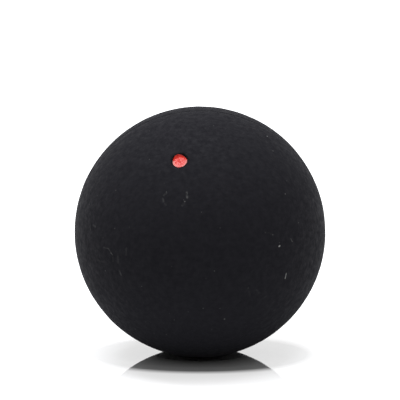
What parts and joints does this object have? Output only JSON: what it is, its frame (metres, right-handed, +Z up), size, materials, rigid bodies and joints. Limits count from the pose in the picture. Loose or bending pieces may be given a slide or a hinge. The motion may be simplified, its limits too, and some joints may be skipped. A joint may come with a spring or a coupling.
{
  "type": "squash ball",
  "caption": "Hollow round rubber ball for squash, made of moulded half shells cemented at a flat seam, with a red paint dot in a small dimple that shows its speed.",
  "frame": {"origin": "centre of the ball", "axes": "+Z up from the point that it rests on, -Y the front that the dot faces, +Y the half shells' common axis, so the seam lies on the XZ plane"},
  "size_m": [0.037, 0.037, 0.037],
  "materials": {
    "buffed_rubber": "matte",
    "rubber_cement": "satin",
    "red_paint": "satin"
  },
  "bodies": {
    "root": {"front_half_shell": "buffed_rubber", "rear_half_shell": "buffed_rubber", "seam_cement": "rubber_cement", "red_dot": "red_paint"}
  },
  "joints": []
}
